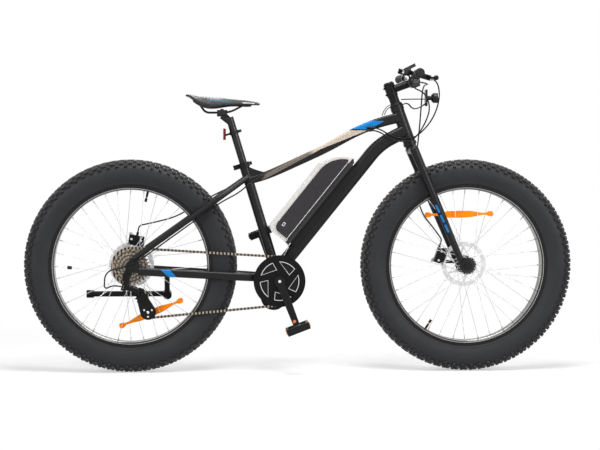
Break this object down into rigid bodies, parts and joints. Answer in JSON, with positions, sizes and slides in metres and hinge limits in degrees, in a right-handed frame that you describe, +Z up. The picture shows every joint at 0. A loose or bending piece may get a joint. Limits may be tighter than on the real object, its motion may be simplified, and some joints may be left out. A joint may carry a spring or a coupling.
{
  "type": "electric fat-tyre bicycle",
  "caption": "Electric fat-tyre bicycle with a rigid fork, disc brakes, a motor at the cranks, a battery on the down tube and a derailleur.",
  "frame": {"origin": "on the ground, midway between the two wheels' contact points", "axes": "+X forward along the bicycle, +Y to the rider's left, +Z up"},
  "size_m": [1.938, 0.7092, 1.0896],
  "materials": {
    "frame_paint": "matte",
    "alloy_black": "satin",
    "alloy_silver": "satin",
    "steel": "satin",
    "dark_steel": "satin",
    "rim_black": "satin",
    "tyre": "matte",
    "grip_rubber": "matte",
    "black_plastic": "matte",
    "gloss_black": "gloss",
    "battery_grey": "satin",
    "amber": "gloss",
    "red": "gloss",
    "saddle_cover": "satin",
    "cable_sheath": "satin"
  },
  "bodies": {
    "frame": {"head_tube": "frame_paint", "top_tube": "frame_paint", "down_tube": "frame_paint", "seat_tube": "frame_paint", "bottom_bracket_shell": "frame_paint", "chainstays": "frame_paint", "seatstays": "frame_paint", "rear_dropouts": "frame_paint", "seat_clamp": "alloy_black", "motor_housing": "alloy_black", "battery_cradle": "black_plastic", "rear_caliper": "alloy_black", "frame_cables": "cable_sheath", "steering_cable_loops": "cable_sheath", "kickstand_bracket": "alloy_black", "derailleur_knuckle": "alloy_black", "chain": "dark_steel"},
    "seat": {"seatpost": "alloy_black", "saddle_shell": "black_plastic", "saddle_cover": "saddle_cover", "rear_reflector": "red"},
    "seat_lever": {"seat_clamp_lever": "alloy_black"},
    "battery": {"battery_case": "battery_grey"},
    "steering": {"fork": "frame_paint", "stem": "alloy_black", "handlebar": "alloy_black", "grips": "grip_rubber", "control_housings": "alloy_black", "display": "gloss_black", "headlight": "black_plastic", "front_caliper": "alloy_black", "front_brake_cable": "cable_sheath"},
    "right_brake_lever": {"brake_lever_right": "alloy_black"},
    "left_brake_lever": {"brake_lever_left": "alloy_black"},
    "shifter": {"shift_lever": "black_plastic"},
    "front_brake_arm": {"front_caliper_arm": "alloy_silver"},
    "rear_brake_arm": {"rear_caliper_arm": "alloy_silver"},
    "front_wheel": {"front_tyre": "tyre", "front_rim": "rim_black", "front_spokes": "dark_steel", "front_hub": "alloy_black", "front_wheel_reflector": "amber"},
    "rear_wheel": {"rear_tyre": "tyre", "rear_rim": "rim_black", "rear_spokes": "dark_steel", "rear_hub": "alloy_black", "rear_wheel_reflector": "amber"},
    "cogs": {"cassette": "steel"},
    "crank": {"chainring": "dark_steel", "crank_arms": "alloy_black"},
    "right_pedal": {"pedal_right": "black_plastic"},
    "left_pedal": {"pedal_left": "black_plastic"},
    "outer_link": {"derailleur_outer_link": "alloy_black"},
    "inner_link": {"derailleur_inner_link": "alloy_black"},
    "cage_knuckle": {"derailleur_cage_knuckle": "alloy_black"},
    "cage": {"derailleur_cage": "dark_steel"},
    "upper_jockey": {"upper_jockey_wheel": "black_plastic"},
    "lower_jockey": {"lower_jockey_wheel": "black_plastic"},
    "kickstand": {"kickstand_leg": "alloy_black"}
  },
  "joints": [
    {"name": "steering", "type": "hinge", "parent": "frame", "child": "steering", "pos_m": [0.55641, 0, 0.36132], "axis": [-0.342, 0, 0.9397], "range_deg": [-50, 50], "deforming": ["steering_cable_loops"]},
    {"name": "front_wheel_spin", "type": "hinge", "parent": "steering", "child": "front_wheel", "pos_m": [0.594, 0, 0.375], "axis": [0, 1, 0], "continuous": true},
    {"name": "rear_wheel_spin", "type": "hinge", "parent": "frame", "child": "rear_wheel", "pos_m": [-0.594, 0, 0.375], "axis": [0, 1, 0], "continuous": true},
    {"name": "crank_spin", "type": "hinge", "parent": "frame", "child": "crank", "pos_m": [-0.072, 0, 0.324], "axis": [0, 1, 0], "continuous": true, "deforming": ["chain"]},
    {"name": "cassette_spin", "type": "hinge", "parent": "frame", "child": "cogs", "pos_m": [-0.594, 0, 0.375], "axis": [0, 1, 0], "continuous": true},
    {"name": "right_pedal_spin", "type": "hinge", "parent": "crank", "child": "right_pedal", "pos_m": [-0.01108, -0.1085, 0.16529], "axis": [0, 1, 0], "continuous": true},
    {"name": "left_pedal_spin", "type": "hinge", "parent": "crank", "child": "left_pedal", "pos_m": [-0.13292, 0.1085, 0.48271], "axis": [0, 1, 0], "continuous": true},
    {"name": "derailleur_shift", "type": "hinge", "parent": "frame", "child": "outer_link", "pos_m": [-0.612, -0.1, 0.304], "axis": [-0.2756, 0, -0.9613], "range_deg": [0, 34]},
    {"name": "inner_link_swing", "type": "hinge", "parent": "frame", "child": "inner_link", "pos_m": [-0.612, -0.084, 0.304], "axis": [-0.2756, 0, -0.9613], "range_deg": [0, 34]},
    {"name": "knuckle_level", "type": "hinge", "parent": "outer_link", "child": "cage_knuckle", "pos_m": [-0.56051, -0.0805, 0.28924], "axis": [-0.2756, 0, -0.9613], "range_deg": [-34, 0]},
    {"name": "cage_tension", "type": "hinge", "parent": "cage_knuckle", "child": "cage", "pos_m": [-0.556, -0.044, 0.268], "axis": [0, 1, 0], "range_deg": [-30, 30], "stiffness_Nm_per_rad": 0.6},
    {"name": "upper_jockey_spin", "type": "hinge", "parent": "cage", "child": "upper_jockey", "pos_m": [-0.556, -0.044, 0.268], "axis": [0, 1, 0], "continuous": true},
    {"name": "lower_jockey_spin", "type": "hinge", "parent": "cage", "child": "lower_jockey", "pos_m": [-0.53283, -0.044, 0.21483], "axis": [0, 1, 0], "continuous": true},
    {"name": "kickstand_fold", "type": "hinge", "parent": "frame", "child": "kickstand", "pos_m": [-0.468, 0.099, 0.268], "axis": [0, -0.9511, -0.309], "range_deg": [0, 95]},
    {"name": "right_brake_pull", "type": "hinge", "parent": "steering", "child": "right_brake_lever", "pos_m": [0.43781, -0.19219, 1.03309], "axis": [-0.2756, 0, -0.9613], "range_deg": [0, 13], "stiffness_Nm_per_rad": 2},
    {"name": "left_brake_pull", "type": "hinge", "parent": "steering", "child": "left_brake_lever", "pos_m": [0.43781, 0.19219, 1.03309], "axis": [0.2756, 0, 0.9613], "range_deg": [0, 13], "stiffness_Nm_per_rad": 2},
    {"name": "front_arm_swing", "type": "hinge", "parent": "steering", "child": "front_brake_arm", "pos_m": [0.51079, 0.069, 0.40365], "axis": [0, 1, 0], "range_deg": [0, 25]},
    {"name": "rear_arm_swing", "type": "hinge", "parent": "frame", "child": "rear_brake_arm", "pos_m": [-0.57721, 0.08, 0.46138], "axis": [0, 1, 0], "range_deg": [0, 25]},
    {"name": "shift_push", "type": "hinge", "parent": "steering", "child": "shifter", "pos_m": [0.37083, -0.16622, 1.05266], "axis": [-0.2756, 0, -0.9613], "range_deg": [0, 30], "stiffness_Nm_per_rad": 0.6},
    {"name": "seat_height", "type": "slide", "parent": "frame", "child": "seat", "axis": [-0.289, 0, 0.9573], "range_m": [-0.09, 0.07]},
    {"name": "seat_lever_open", "type": "hinge", "parent": "frame", "child": "seat_lever", "pos_m": [-0.22518, 0.018, 0.72065], "axis": [-0.289, 0, 0.9573], "range_deg": [0, 135]},
    {"name": "battery_slide", "type": "slide", "parent": "frame", "child": "battery", "axis": [0.6266, 0, 0.7793], "range_m": [0, 0.025]}
  ],
  "couplings": [
    {"joint": "cassette_spin", "follows": "crank_spin", "ratio": 1.3125},
    {"joint": "upper_jockey_spin", "follows": "crank_spin", "ratio": -3.8182},
    {"joint": "lower_jockey_spin", "follows": "crank_spin", "ratio": 3.8182},
    {"joint": "inner_link_swing", "follows": "derailleur_shift", "ratio": 1},
    {"joint": "knuckle_level", "follows": "derailleur_shift", "ratio": -1},
    {"joint": "front_arm_swing", "follows": "left_brake_pull", "ratio": 1.92},
    {"joint": "rear_arm_swing", "follows": "right_brake_pull", "ratio": 1.92}
  ]
}
